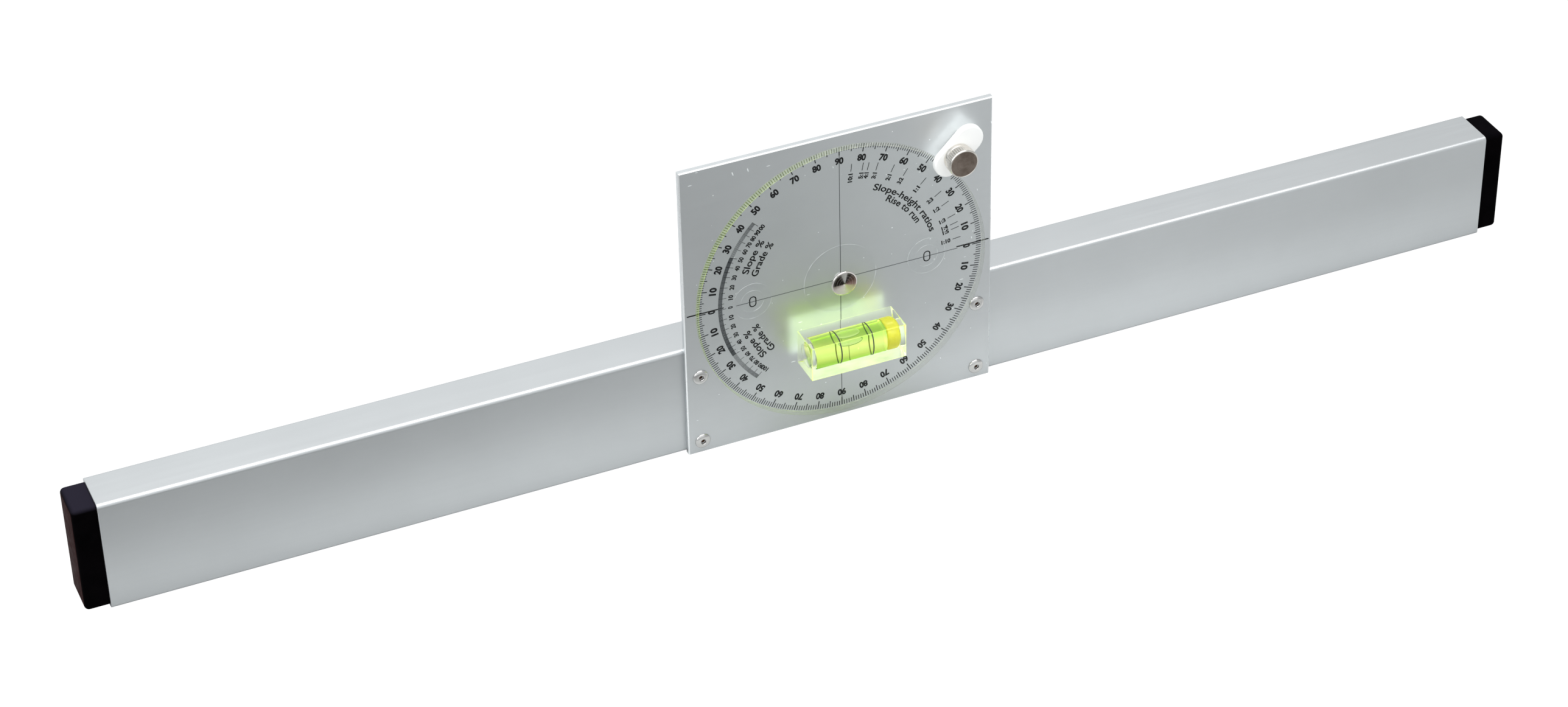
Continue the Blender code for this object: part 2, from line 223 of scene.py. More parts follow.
def plastic(name, base, rough, var=0.06, scale=120, rvar=0.05, texture=0.0, tex_scale=1800, sss=0.0,
            emit=None, emit_k=0.0, coat=0.0):
    m, nt, p = new_mat(name)
    v = coords(nt)
    cloud = noise(nt, v, scale, 3, 0.6)
    col = ramp(nt, cloud, [(0.3, shade(base, 1 - var)), (0.7, shade(base, 1 + var))])
    nt.links.new(col, p.inputs["Base Color"])
    nt.links.new(remap(nt, noise(nt, v, scale * 2.7, 2, 0.5), 0.3, 0.7, rough - rvar, rough + rvar),
                 p.inputs["Roughness"])
    if texture:
        bump(nt, p, noise(nt, v, tex_scale, 2, 0.5), texture, 0.00003)
    if sss:
        p.inputs["Subsurface Weight"].default_value = sss
        p.inputs["Subsurface Radius"].default_value = (0.9, 0.95, 0.8)
        p.inputs["Subsurface Scale"].default_value = 0.002
    if emit:
        p.inputs["Emission Color"].default_value = (*emit, 1)
        p.inputs["Emission Strength"].default_value = emit_k
    if coat:
        p.inputs["Coat Weight"].default_value = coat
    return m


def glass(name, base, rough, ior, var=0.02, scale=150, emit=None, emit_k=0.0, rvar=0.004):
    """Solid clear plastic or liquid that bends what is behind it."""
    m, nt, p = new_mat(name)
    v = coords(nt)
    cloud = noise(nt, v, scale, 2, 0.5)
    col = ramp(nt, cloud, [(0.35, shade(base, 1 - var)), (0.65, base)])
    nt.links.new(col, p.inputs["Base Color"])
    nt.links.new(remap(nt, noise(nt, v, scale * 3, 2, 0.5), 0.3, 0.7, max(0, rough - rvar), rough + rvar),
                 p.inputs["Roughness"])
    p.inputs["Transmission Weight"].default_value = 1.0
    p.inputs["IOR"].default_value = ior
    if emit:
        p.inputs["Emission Color"].default_value = (*emit, 1)
        p.inputs["Emission Strength"].default_value = emit_k
    return m


def sheet_glass(name, tint, rough, scale=60, ior=1.42, rim=None):
    """Thin flat clear sheet: light goes straight through, and its faces mirror a little."""
    m, nt, p = new_mat(name)
    v = coords(nt)
    nt.nodes.remove(p)
    out = nt.nodes["Material Output"]
    tr = nt.nodes.new("ShaderNodeBsdfTransparent")
    cloud = noise(nt, v, scale, 3, 0.6)
    nt.links.new(ramp(nt, cloud, [(0.3, shade(tint, 0.997)), (0.7, tint)]), tr.inputs["Color"])
    gl = nt.nodes.new("ShaderNodeBsdfGlossy")
    gl.inputs["Color"].default_value = (1, 1, 1, 1)
    nt.links.new(remap(nt, cloud, 0.3, 0.7, rough * 0.6, rough * 1.4), gl.inputs["Roughness"])
    fr = nt.nodes.new("ShaderNodeFresnel")
    fr.inputs["IOR"].default_value = ior
    geo = nt.nodes.new("ShaderNodeNewGeometry")
    front = math_node(nt, "SUBTRACT", 1.0, geo.outputs["Backfacing"])
    fac = math_node(nt, "MULTIPLY", fr.outputs["Fac"], front)
    mx = nt.nodes.new("ShaderNodeMixShader")
    nt.links.new(fac, mx.inputs["Fac"])
    nt.links.new(tr.outputs[0], mx.inputs[1])
    nt.links.new(gl.outputs[0], mx.inputs[2])
    if rim is None:
        nt.links.new(mx.outputs[0], out.inputs["Surface"])
        return m
    # painted highlight: the cut edge, which stands square to the two faces, glows with a patchy emission in the rim
    # colour
    side = nt.nodes.new("ShaderNodeSeparateXYZ")
    nt.links.new(geo.outputs["Normal"], side.inputs[0])
    flat = math_node(nt, "ABSOLUTE", side.outputs["Y"])
    edge = math_node(nt, "MULTIPLY", math_node(nt, "LESS_THAN", flat, 0.5), remap(nt, noise(nt, v, 260, 2, 0.5), 0.40, 0.62, 0.12, 0.75))
    painted_edge_glow = nt.nodes.new("ShaderNodeEmission")
    painted_edge_glow.inputs["Color"].default_value = (*rim, 1)
    painted_edge_glow.inputs["Strength"].default_value = 0.75
    mx2 = nt.nodes.new("ShaderNodeMixShader")
    nt.links.new(edge, mx2.inputs["Fac"])
    nt.links.new(mx.outputs[0], mx2.inputs[1])
    nt.links.new(painted_edge_glow.outputs[0], mx2.inputs[2])
    nt.links.new(mx2.outputs[0], out.inputs["Surface"])
    return m


M_TUBE = metal("tube_anodised", (0.555, 0.575, 0.585), 0.40, 0.02, 22, (2.0, 90, 90), 0.03, 0.015, 8)
M_PLATE = metal("plate_anodised", (0.560, 0.580, 0.590), 0.42, 0.025, 26, (3, 1, 60), 0.03, 0.015, 6, specks=True)
M_PLATE_EDGE = metal("plate_cut_edge", (0.64, 0.665, 0.675), 0.36, 0.03, 200, (8, 60, 60), 0.04, 0.05, 12)
# painted highlight: the chamfer's near-white base colour stands in for the bright line it catches from the overhead
# light
M_PLATE_CHAMFER_PAINTED_HIGHLIGHT = metal("plate_chamfer_painted_highlight", (0.92, 0.94, 0.95), 0.30, 0.02, 200, (8, 60, 60), 0.04, 0.03, 12)
M_RIVET = metal("rivet_aluminium", (0.58, 0.575, 0.565), 0.18, 0.06, 260, (1, 1, 1), 0.07, 0.08, 1500)
# mandrel end: plain dark brown colour, far darker than the rivet heads
M_MANDREL = metal("mandrel_steel_dark_brown", (0.050, 0.028, 0.018), 0.5, 0.35, 900, (1, 1, 1), 0.1, 0.2, 2500)
M_NICKEL = metal("nickel_turned", (0.78, 0.75, 0.71), 0.16, 0.05, 500, (1, 1, 1), 0.04, 0.02, 2600)
M_KNOB = metal("nickel_knurl", (0.75, 0.715, 0.665), 0.22, 0.06, 600, (1, 1, 1), 0.05, 0.05, 2600)
M_STEEL = metal("zinc_steel_plain", (0.58, 0.59, 0.60), 0.36, 0.08, 500, (1, 1, 1), 0.08, 0.12, 1800)


def knob_face_mat():
    """Turned knob face: concentric tool marks over a dark brown base colour, a painted reflection of dark surroundings
    in the bright nickel.
    """
    m, nt, p = new_mat("nickel_face_turned")
    tc = nt.nodes.new("ShaderNodeTexCoord")
    sub = nt.nodes.new("ShaderNodeVectorMath")
    sub.operation = "SUBTRACT"
    sub.inputs[1].default_value = ((KN0[0] + KN1[0]) / 2 * MM, 0, (KN0[2] + KN1[2]) / 2 * MM)
    nt.links.new(tc.outputs["Object"], sub.inputs[0])
    flat = nt.nodes.new("ShaderNodeVectorMath")
    flat.operation = "MULTIPLY"
    flat.inputs[1].default_value = (1, 0, 1)
    nt.links.new(sub.outputs[0], flat.inputs[0])
    ln = nt.nodes.new("ShaderNodeVectorMath")
    ln.operation = "LENGTH"
    nt.links.new(flat.outputs[0], ln.inputs[0])
    comb = nt.nodes.new("ShaderNodeCombineXYZ")
    nt.links.new(ln.outputs["Value"], comb.inputs[0])
    ring = noise(nt, comb.outputs[0], 5200, 3, 0.7)
    cloud = noise(nt, sub.outputs[0], 330, 2, 0.5)
    # painted reflection: the dark brown base stands in for dark surroundings mirrored in the nickel face
    c1 = ramp(nt, ring, [(0.30, (0.070, 0.050, 0.038)), (0.70, (0.23, 0.185, 0.15))])
    col = mixc(nt, 0.5, c1, ramp(nt, cloud, [(0.3, (0.10, 0.078, 0.066)), (0.7, (0.26, 0.22, 0.195))]))
    nt.links.new(col, p.inputs["Base Color"])
    nt.links.new(remap(nt, ring, 0.3, 0.7, 0.22, 0.38), p.inputs["Roughness"])
    p.inputs["Metallic"].default_value = 1.0
    bump(nt, p, ring, 0.35, 0.00004)
    return m


M_FACE = knob_face_mat()


def cone_mat():
    """Turned cone of the pivot screw: tool rings, and painted reflections: light, dark, black and greenish sectors set
    into the base colour by angle around the axis.
    """
    m, nt, p = new_mat("nickel_turned_cone")
    tc = nt.nodes.new("ShaderNodeTexCoord")
    sx = nt.nodes.new("ShaderNodeSeparateXYZ")
    nt.links.new(tc.outputs["Object"], sx.inputs[0])
    dx = math_node(nt, "SUBTRACT", sx.outputs["X"], CX * MM)
    dz = math_node(nt, "SUBTRACT", sx.outputs["Z"], CZ * MM)
    ang = math_node(nt, "ARCTAN2", dz, dx)
    f = remap(nt, ang, -PI, PI, 0.0, 1.0)

    def at(deg):
        return (deg + 180) / 360
    dark, black, lite = (0.12, 0.07, 0.055), (0.018, 0.014, 0.012), (0.92, 0.90, 0.88)
    # painted reflection: sectors of light, dark, black and green-yellow around the pivot axis stand in for what the
    # turned metal mirrors
    painted_reflection_fan = ramp(nt, f, [(0.0, (0.05, 0.04, 0.035)), (at(-172), (0.40, 0.35, 0.30)), (at(-150), (0.72, 0.66, 0.60)),
                       (at(-95), (0.86, 0.85, 0.72)), (at(-60), (0.74, 0.80, 0.38)), (at(-30), (0.62, 0.60, 0.34)),
                       (at(-14), (0.36, 0.24, 0.20)), (at(20), dark), (at(48), (0.10, 0.08, 0.07)), (at(58), black),
                       (at(72), (0.08, 0.075, 0.07)), (at(80), (0.55, 0.54, 0.53)), (at(104), (0.42, 0.41, 0.40)),
                       (at(113), (0.10, 0.09, 0.085)), (at(135), black), (1.0, (0.03, 0.025, 0.02))])
    sq = math_node(nt, "ADD", math_node(nt, "MULTIPLY", dx, dx), math_node(nt, "MULTIPLY", dz, dz))
    rad = math_node(nt, "SQRT", sq)
    cb = nt.nodes.new("ShaderNodeCombineXYZ")
    nt.links.new(rad, cb.inputs[0])
    ring = noise(nt, cb.outputs[0], 2600, 2, 0.6)
    col = mixc(nt, remap(nt, ring, 0.56, 0.68, 0.0, 0.40), painted_reflection_fan, (0.85, 0.84, 0.82))
    nt.links.new(col, p.inputs["Base Color"])
    nt.links.new(remap(nt, ring, 0.3, 0.7, 0.10, 0.18), p.inputs["Roughness"])
    p.inputs["Metallic"].default_value = 1.0
    bump(nt, p, ring, 0.3, 0.00004)
    return m


M_CONE = cone_mat()


def cap_mat():
    """Black moulded cap with painted light: the end faces get a faint wine tint as a painted reflection, and the upward
    faces and edges a lighter bluish painted sheen, full on the left cap and almost none on the right.
    """
    m, nt, p = new_mat("black_moulded_cap")
    v = coords(nt)
    tc = nt.nodes.new("ShaderNodeTexCoord")
    sx = nt.nodes.new("ShaderNodeSeparateXYZ")
    nt.links.new(tc.outputs["Normal"], sx.inputs[0])
    pos = nt.nodes.new("ShaderNodeSeparateXYZ")
    nt.links.new(tc.outputs["Object"], pos.inputs[0])
    # painted reflection: faces pointing along X, the end faces, get a faint wine tint
    side = remap(nt, math_node(nt, "ABSOLUTE", sx.outputs["X"]), 0.93, 1.0, 0.0, 1.0)
    # painted sheen: upward faces and top edges get a lighter bluish colour, fading from the left cap to the right one
    up = remap(nt, sx.outputs["Z"], 0.3, 1.0, 0.0, 1.0)
    up = math_node(nt, "MULTIPLY", up, remap(nt, pos.outputs["X"], -0.2, 0.2, 1.0, 0.05))
    cloud = noise(nt, v, 150, 3, 0.6)
    base = ramp(nt, cloud, [(0.3, (0.0008, 0.0007, 0.0009)), (0.7, (0.0018, 0.0014, 0.0018))])
    col = mixc(nt, side, base, (0.0165, 0.0016, 0.0018))
    col = mixc(nt, up, col, (0.014, 0.0125, 0.020))
    nt.links.new(col, p.inputs["Base Color"])
    nt.links.new(remap(nt, noise(nt, v, 380, 2, 0.5), 0.3, 0.7, 0.33, 0.45), p.inputs["Roughness"])
    p.inputs["Specular IOR Level"].default_value = 0.15
    p.inputs["IOR"].default_value = 1.06
    bump(nt, p, noise(nt, v, 2600, 2, 0.5), 0.12, 0.00003)
    return m


M_CAP = cap_mat()
# painted glow: the white moulding carries an emission, so it and its reflection in the plate glow
M_WHITE_GLOWING = plastic("white_moulded_glowing", (0.72, 0.73, 0.72), 0.36, 0.012, 140, 0.05, 0.05, 1500,
                  emit=(1, 1, 0.99), emit_k=0.225)
M_DISC = sheet_glass("disc_clear", (0.995, 1.0, 0.997), 0.03, ior=1.25)
# rim: colour of the painted glow on the washers' cut edges
M_CLEAR = sheet_glass("washer_clear", (0.999, 1.0, 1.0), 0.045, ior=1.10, rim=(0.80, 0.84, 0.85))
M_PRINT = plastic("print_black", (0.006, 0.0065, 0.007), 0.55, 0.25, 900, 0.08)
M_PRINT_GREY = plastic("print_grey", (0.060, 0.066, 0.070), 0.5, 0.2, 700, 0.08)
for m_ in (M_PRINT, M_PRINT_GREY):
    m_.node_tree.nodes["Principled BSDF"].inputs["Specular IOR Level"].default_value = 0.05
# painted glow: the vial plastic has a faint yellow-green emission, its bevelled edges a stronger one, and its underside
# a patchy yellow-green one
M_VIAL = glass("vial_clear", (0.99, 1.0, 0.955), 0.004, 1.49, var=0.01, emit=(0.92, 1.0, 0.62), emit_k=0.012)
M_VIAL_BACK = sheet_glass("vial_glued_face", (0.97, 1.0, 0.90), 0.03, ior=1.0)
M_VIAL_FOOT = glass("vial_foot_face", (0.97, 1.0, 0.80), 0.01, 1.49, var=0.10, scale=190, emit=(0.90, 0.90, 0.40), emit_k=0.17)
foot = M_VIAL_FOOT.node_tree
foot.links.new(ramp(foot, noise(foot, coords(foot), 95, 2, 0.5),
                    [(0.36, (0.42, 0.46, 0.06)), (0.50, (0.90, 0.92, 0.40)), (0.62, (1.0, 1.0, 0.72))]),
               foot.nodes["Principled BSDF"].inputs["Emission Color"])
M_VIAL_EDGE = glass("vial_clear_edge", (0.93, 1.0, 0.45), 0.08, 1.49, emit=(0.80, 1.0, 0.25), emit_k=0.30)


def liquid_mat():
    """Dyed vial liquid with painted shade and a painted glow: base and emission colour are yellow in the middle of the
    bore and darker green towards its top and bottom.
    """
    m, nt, p = new_mat("vial_liquid_green")
    tc = nt.nodes.new("ShaderNodeTexCoord")
    sx = nt.nodes.new("ShaderNodeSeparateXYZ")
    nt.links.new(tc.outputs["Object"], sx.inputs[0])
    zc = (VB0[2] + VB1[2]) / 2 * MM
    h = remap(nt, sx.outputs["Z"], zc - 0.0049, zc + 0.0049, 0.0, 1.0)
    v = coords(nt)
    cloud = noise(nt, v, 90, 2, 0.5)
    h = math_node(nt, "ADD", h, math_node(nt, "MULTIPLY", math_node(nt, "SUBTRACT", cloud, 0.5), 0.12))
    h = math_node(nt, "ADD", h, remap(nt, sx.outputs["X"], -0.016, 0.012, -0.10, 0.10))
    # painted shade and painted glow: colour runs from yellow mid-bore to dark green at top and bottom, shifting a
    # little along the length
    nt.links.new(ramp(nt, h, [(0.0, (0.46, 0.70, 0.08)), (0.22, (0.60, 0.80, 0.12)), (0.42, (0.96, 0.97, 0.42)),
                              (0.58, (1.0, 1.0, 0.60)), (0.78, (0.86, 0.97, 0.36)), (0.93, (0.52, 0.84, 0.16)),
                              (1.0, (0.42, 0.78, 0.10))]), p.inputs["Base Color"])
    nt.links.new(ramp(nt, h, [(0.0, (0.03, 0.16, 0.0)), (0.22, (0.10, 0.30, 0.0)), (0.42, (0.82, 0.76, 0.10)),
                              (0.58, (1.0, 0.96, 0.26)), (0.74, (0.80, 0.88, 0.14)), (0.90, (0.18, 0.44, 0.01)),
                              (1.0, (0.10, 0.28, 0.0))]), p.inputs["Emission Color"])
    p.inputs["Emission Strength"].default_value = 0.17
    nt.links.new(remap(nt, cloud, 0.3, 0.7, 0.0, 0.008), p.inputs["Roughness"])
    p.inputs["Transmission Weight"].default_value = 1.0
    p.inputs["IOR"].default_value = 1.06
    return m


M_LIQUID = liquid_mat()


def bubble_mat():
    """Air seen inside the dyed liquid: clear in the middle, a painted highlight line of emission, then a painted dark
    green shaded rim towards its outline.
    """
    m, nt, p = new_mat("vial_bubble_air")
    nt.nodes.remove(p)
    lw = nt.nodes.new("ShaderNodeLayerWeight")
    lw.inputs["Blend"].default_value = 0.5
    face = lw.outputs["Facing"]
    wob = noise(nt, coords(nt), 420, 2, 0.5)
    face = math_node(nt, "ADD", face, math_node(nt, "MULTIPLY", math_node(nt, "SUBTRACT", wob, 0.5), 0.10))
    tr = nt.nodes.new("ShaderNodeBsdfTransparent")
    nt.links.new(ramp(nt, face, [(0.0, (0.99, 1.0, 0.95)), (0.48, (0.97, 1.0, 0.90)), (0.58, (0.22, 0.44, 0.09)),
                                 (0.90, (0.12, 0.32, 0.06)), (1.0, (0.20, 0.42, 0.10))]), tr.inputs["Color"])
    # painted highlight: emission for the bright line just inside the bubble's outline
    em = nt.nodes.new("ShaderNodeEmission")
    em.inputs["Color"].default_value = (0.93, 1.0, 0.74, 1)
    em.inputs["Strength"].default_value = 0.85
    mx = nt.nodes.new("ShaderNodeMixShader")
    nt.links.new(ramp(nt, face, [(0.0, (0.30, 0.30, 0.30)), (0.22, (0.26, 0.26, 0.26)), (0.32, (0.92, 0.92, 0.92)),
                                 (0.46, (0.85, 0.85, 0.85)), (0.54, (0.04, 0.04, 0.04)), (1.0, (0, 0, 0))]), mx.inputs["Fac"])
    nt.links.new(tr.outputs[0], mx.inputs[1])
    nt.links.new(em.outputs[0], mx.inputs[2])
    nt.links.new(mx.outputs[0], nt.nodes["Material Output"].inputs["Surface"])
    return m


M_BUBBLE = bubble_mat()
M_RING = plastic("ring_black_paint", (0.006, 0.014, 0.007), 0.4, 0.2, 900, 0.05)
# painted glow: the yellow plug carries a yellow emission
M_PLUG = plastic("plug_yellow", (0.86, 0.83, 0.03), 0.30, 0.04, 120, 0.06, 0.05, 1200, sss=0.4,
                 emit=(0.95, 0.93, 0.02), emit_k=0.13)


def rim_mat(name, green_lo, green_hi, pale_lo, pale_hi, clear):
    """Disc edge with painted light: it is tinted the vial's yellow-green towards the left, standing in for light the
    vial pipes into the disc, and stays pale elsewhere.
    """
    m, nt, p = new_mat(name)
    tc = nt.nodes.new("ShaderNodeTexCoord")
    sx = nt.nodes.new("ShaderNodeSeparateXYZ")
    nt.links.new(tc.outputs["Object"], sx.inputs[0])
    # painted light: yellow-green on the left part of the edge, pale towards the right
    left = remap(nt, sx.outputs["X"], -DR * MM, 0.012, 0.0, 1.0)
    v = coords(nt)
    streak = noise(nt, v, 700, 3, 0.6)
    green = ramp(nt, streak, [(0.3, green_lo), (0.7, green_hi)])
    pale = ramp(nt, streak, [(0.3, pale_lo), (0.7, pale_hi)])
    nt.links.new(mixc(nt, left, green, pale), p.inputs["Base Color"])
    nt.links.new(remap(nt, streak, 0.3, 0.7, 0.12, 0.3), p.inputs["Roughness"])
    nt.links.new(remap(nt, streak, 0.3, 0.7, clear * 0.8, clear * 1.2), p.inputs["Alpha"])
    p.inputs["IOR"].default_value = 1.3
    return m


M_RIM = rim_mat("disc_edge_side", (0.22, 0.33, 0.06), (0.50, 0.64, 0.20), (0.20, 0.22, 0.19), (0.46, 0.48, 0.43), 0.32)
M_RIM_LINE = rim_mat("disc_edge_line", (0.28, 0.40, 0.10), (0.56, 0.70, 0.26), (0.22, 0.24, 0.20), (0.52, 0.54, 0.48), 0.60)



# ------------------------------------------------------------------ mesh helpers (all input in mm)
def obj_from_bm(bm, name, mats, angle=35, recalc=True):
    if recalc:
        bmesh.ops.recalc_face_normals(bm, faces=bm.faces)
    for v in bm.verts:
        v.co *= MM
    me = bpy.data.meshes.new(name)
    bm.to_mesh(me)
    bm.free()
    if angle is not None:
        me.polygons.foreach_set("use_smooth", [True] * len(me.polygons))
        me.set_sharp_from_angle(angle=math.radians(angle))
    for m in (mats if isinstance(mats, (list, tuple)) else [mats]):
        me.materials.append(m)
    ob = bpy.data.objects.new(name, me)
    scene.collection.objects.link(ob)
    return ob


def place(ob, body, nodes=()):
    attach(ob, body)
    if nodes:
        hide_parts(*nodes)
    return ob


def add_loop(bm, pts):
    return [bm.verts.new(p) for p in pts]


def bridge(bm, a, b, mat=0):
    n = len(a)
    for i in range(n):
        f = bm.faces.new((a[i], a[(i + 1) % n], b[(i + 1) % n], b[i]))
        f.material_index = mat


def loft(bm, loops, close=False, cap0=False, cap1=False, mat=0):
    rows = [add_loop(bm, l) for l in loops]
    for a, b in zip(rows, rows[1:]):
        bridge(bm, a, b, mat)
    if close:
        bridge(bm, rows[-1], rows[0], mat)
    if cap0:
        bm.faces.new(list(reversed(rows[0]))).material_index = mat
    if cap1:
        bm.faces.new(rows[-1]).material_index = mat
    return rows


def lathe(bm, centre, profile, seg=64, axis="Y", closed=False, mats=None):
    """profile of (radius, height towards the reader); rings of vertices joined in turn."""
    rows = []
    cx, cy, cz = centre
    for r, h in profile:
        if r < 1e-6:
            rows.append([bm.verts.new((cx, cy - h, cz) if axis == "Y" else (cx + h, cy, cz))])
            continue
        ring = []
        for k in range(seg):
            t = 2 * PI * k / seg
            c, s = r * math.cos(t), r * math.sin(t)
            ring.append(bm.verts.new((cx + c, cy - h, cz + s) if axis == "Y" else (cx + h, cy + c, cz + s)))
        rows.append(ring)
    pairs = list(zip(rows, rows[1:]))
    if closed:
        pairs.append((rows[-1], rows[0]))
    for i, (a, b) in enumerate(pairs):
        mi = mats[i] if mats else 0
        if len(a) == 1 and len(b) == 1:
            continue
        if len(a) == 1:
            for k in range(seg):
                bm.faces.new((a[0], b[(k + 1) % seg], b[k])).material_index = mi
        elif len(b) == 1:
            for k in range(seg):
                bm.faces.new((a[k], a[(k + 1) % seg], b[0])).material_index = mi
        else:
            bridge(bm, a, b, mi)


def rrect(w, h, r, n):
    """Rounded rectangle centred on 0, counter-clockwise."""
    pts = []
    for qx, qy, a0 in ((1, 1, 0), (-1, 1, 90), (-1, -1, 180), (1, -1, 270)):
        for k in range(n + 1):
            a = math.radians(a0 + 90 * k / n)
            pts.append((qx * (w / 2 - r) + r * math.cos(a), qy * (h / 2 - r) + r * math.sin(a)))
    return pts


def box_bm(lo, hi):
    bm = bmesh.new()
    bmesh.ops.create_cube(bm, size=1.0)
    for v in bm.verts:
        v.co = Vector([lo[i] + (v.co[i] + 0.5) * (hi[i] - lo[i]) for i in range(3)])
    return bm


def bevel_where(bm, test, width, seg, mat=-1):
    es = [e for e in bm.edges if test(e.verts[0].co, e.verts[1].co)]
    return bmesh.ops.bevel(bm, geom=es, offset=width, offset_type="OFFSET", segments=seg, profile=0.5,
                           affect="EDGES", clamp_overlap=True, material=mat)


def near(a, b):
    return abs(a - b) < 1e-4


# ------------------------------------------------------------------ level bar
def tube():
    bm = bmesh.new()
    yc, zc = (TB0[1] + TB1[1]) / 2, (TB0[2] + TB1[2]) / 2
    w, h = TB1[1] - TB0[1], TB1[2] - TB0[2]
    wall = 1.5

    def loop(x, inset, r):
        return [(x, yc + p, zc + q) for p, q in rrect(w - 2 * inset, h - 2 * inset, r, 10)]
    x0, x1 = TB0[0], TB1[0]
    cuts = [x0 + (x1 - x0) * k / 24 for k in range(1, 24)]
    loops = [loop(x0, 0.14, 1.61), loop(x0 + 0.14, 0, 1.75)] + [loop(x, 0, 1.75) for x in cuts]
    loops += [loop(x1 - 0.14, 0, 1.75), loop(x1, 0.14, 1.61)]
    loops += [loop(x1, wall - 0.1, 0.7), loop(x1 - 0.1, wall, 0.6), loop(x0 + 0.1, wall, 0.6), loop(x0, wall - 0.1, 0.7)]
    loft(bm, loops, close=True)
    return obj_from_bm(bm, "tube_body", M_TUBE, 25)


place(tube(), "bar", ("beam_tube",))


def end_cap(side, tag):
    lo, hi = nbox("end_cap_" + tag)
    xo = lo[0] if side < 0 else hi[0]
    xi = xo - side * 9.4
    y0, y1, z0, z1 = TB0[1] + 1, TB1[1] - 1, TB0[2] + 1, TB1[2] - 1
    bm = box_bm((min(xi, xo), y0, z0), (max(xi, xo), y1, z1))
    bevel_where(bm, lambda a, b: not (near(a.x, xi) and near(b.x, xi)), 1.9, 8)
    bevel_where(bm, lambda a, b: near(a.x, xi) and near(b.x, xi), 0.15, 2)
    # plug inside the tube
    xp = xi - side * 14.0
    yc, zc = (y0 + y1) / 2, (z0 + z1) / 2
    w, h = TB1[1] - TB0[1] - 3.6, TB1[2] - TB0[2] - 3.6
    loft(bm, [[(x, yc + p, zc + q) for p, q in rrect(w - 2 * i, h - 2 * i, 0.6, 4)]
              for x, i in ((xi + side * 0.4, 0), (xp + side * 0.8, 0), (xp, 0.5), (xp, 1.6), (xi - side * 1.5, 1.6))],
         cap0=True, cap1=True)
    return obj_from_bm(bm, "cap_" + tag, M_CAP, 32)


place(end_cap(-1, "left"), "bar", ("end_cap_left",))
place(end_cap(1, "right"), "bar", ("end_cap_right",))


def plate():
    bm = box_bm(PL0, PL1)
    yf = PL0[1]
    bevel_where(bm, lambda a, b: near(a.y, yf) and near(b.y, yf) and not (near(a.z, PL0[2]) and near(b.z, PL0[2])),
                0.45, 1, 1)
    yb = PL1[1]
    bevel_where(bm, lambda a, b: near(a.y, yb) and near(b.y, yb), 0.15, 2, 1)
    bm.faces.ensure_lookup_table()
    for f in bm.faces:
        n = f.normal
        if abs(n.y) < 0.5:
            f.material_index = 1
        elif n.y < -0.5 and abs(n.y) < 0.9:
            # front chamfer faces take the near-white painted-highlight material
            f.material_index = 2
    return obj_from_bm(bm, "plate_body", [M_PLATE, M_PLATE_EDGE, M_PLATE_CHAMFER_PAINTED_HIGHLIGHT], 20)


place(plate(), "bar", ("dial_plate",))

for i in range(1, 5):
    lo, hi = nbox("rivet_%d" % i)
    rx, rz = (lo[0] + hi[0]) / 2, (lo[2] + hi[2]) / 2
    bm = bmesh.new()
    prof = [(1.02, 0.55), (1.06, 0.78), (1.22, 0.93), (1.45, 0.955), (1.9, 0.93), (2.35, 0.83), (2.75, 0.66),
            (3.02, 0.45), (3.16, 0.25), (3.2, 0.10), (3.16, 0.03), (3.0, 0.02), (1.62, 0.02), (1.6, -4.0),
            (2.2, -4.3), (2.35, -5.4), (2.0, -6.4), (1.5, -6.6), (1.02, -6.6)]
    lathe(bm, (rx, PLATE_FRONT, rz), prof, 56, closed=True)
    place(obj_from_bm(bm, "rivet_head_%d" % i, M_RIVET, 50), "bar", ("rivet_%d" % i,))
    NODES["rivet_mandrel_%d" % i].data.materials.clear()
    NODES["rivet_mandrel_%d" % i].data.materials.append(M_MANDREL)


# ------------------------------------------------------------------ dial disc
def disc():
    bm = bmesh.new()
    t = DISC_BACK - DISC_FRONT
    e = 0.16
    prof = [(2.6, 0.0), (DR - e, 0.0), (DR - e * 0.3, e * 0.3), (DR, e), (DR, t - e), (DR - e * 0.3, t - e * 0.3),
            (DR - e, t), (2.6, t)]
    lathe(bm, (CX, DISC_BACK, CZ), prof, 288, closed=True, mats=[0, 2, 2, 1, 2, 2, 0, 0])
    return obj_from_bm(bm, "disc_body", [M_DISC, M_RIM, M_RIM_LINE], 50)


disc_ob = place(disc(), "dial", ("dial_disc",))
disc_ob.visible_shadow = disc_ob.visible_diffuse = disc_ob.visible_glossy = False      # clear sheet: it does not dim what it lies on

for n in ("friction_washer", "glide_pad_left", "glide_pad_right"):
    NODES[n].data.materials.clear()
    NODES[n].data.materials.append(M_CLEAR)
for n in ("pivot_washer", "pivot_spring_washer", "pivot_lock_nut", "clamp_nut"):
    NODES[n].data.materials.clear()
    NODES[n].data.materials.append(M_STEEL)

# ------------------------------------------------------------------ printing on the back of the disc
FONT_CACHE = {}


def glyphs(text, bold=0.0):
    """Filled outline of a text at size 1: vertices, faces and its box (x0, x1, y0, y1)."""
    key = (text, bold)
    if key in FONT_CACHE:
        return FONT_CACHE[key]
    cu = bpy.data.curves.new("tmp_text", "FONT")
    cu.body = text
    cu.size = 1.0
    cu.resolution_u = 3
    cu.offset = bold
    ob = bpy.data.objects.new("tmp_text", cu)
    scene.collection.objects.link(ob)
    dg = bpy.context.evaluated_depsgraph_get()
    dg.update()
    me = bpy.data.meshes.new_from_object(ob.evaluated_get(dg))
    vs = [(v.co.x, v.co.y) for v in me.vertices]
    fs = [tuple(p.vertices) for p in me.polygons]
    bpy.data.meshes.remove(me)
    bpy.data.objects.remove(ob)
    bpy.data.curves.remove(cu)
    x0, x1 = min(v[0] for v in vs), max(v[0] for v in vs)
    y0, y1 = min(v[1] for v in vs), max(v[1] for v in vs)
    FONT_CACHE[key] = (vs, fs, (x0, x1, y0, y1))
    return FONT_CACHE[key]


CAP = glyphs("0", 0.0)[2]
CAP_H = CAP[3] - CAP[2]
PRINT_Y = DISC_BACK + 0.05


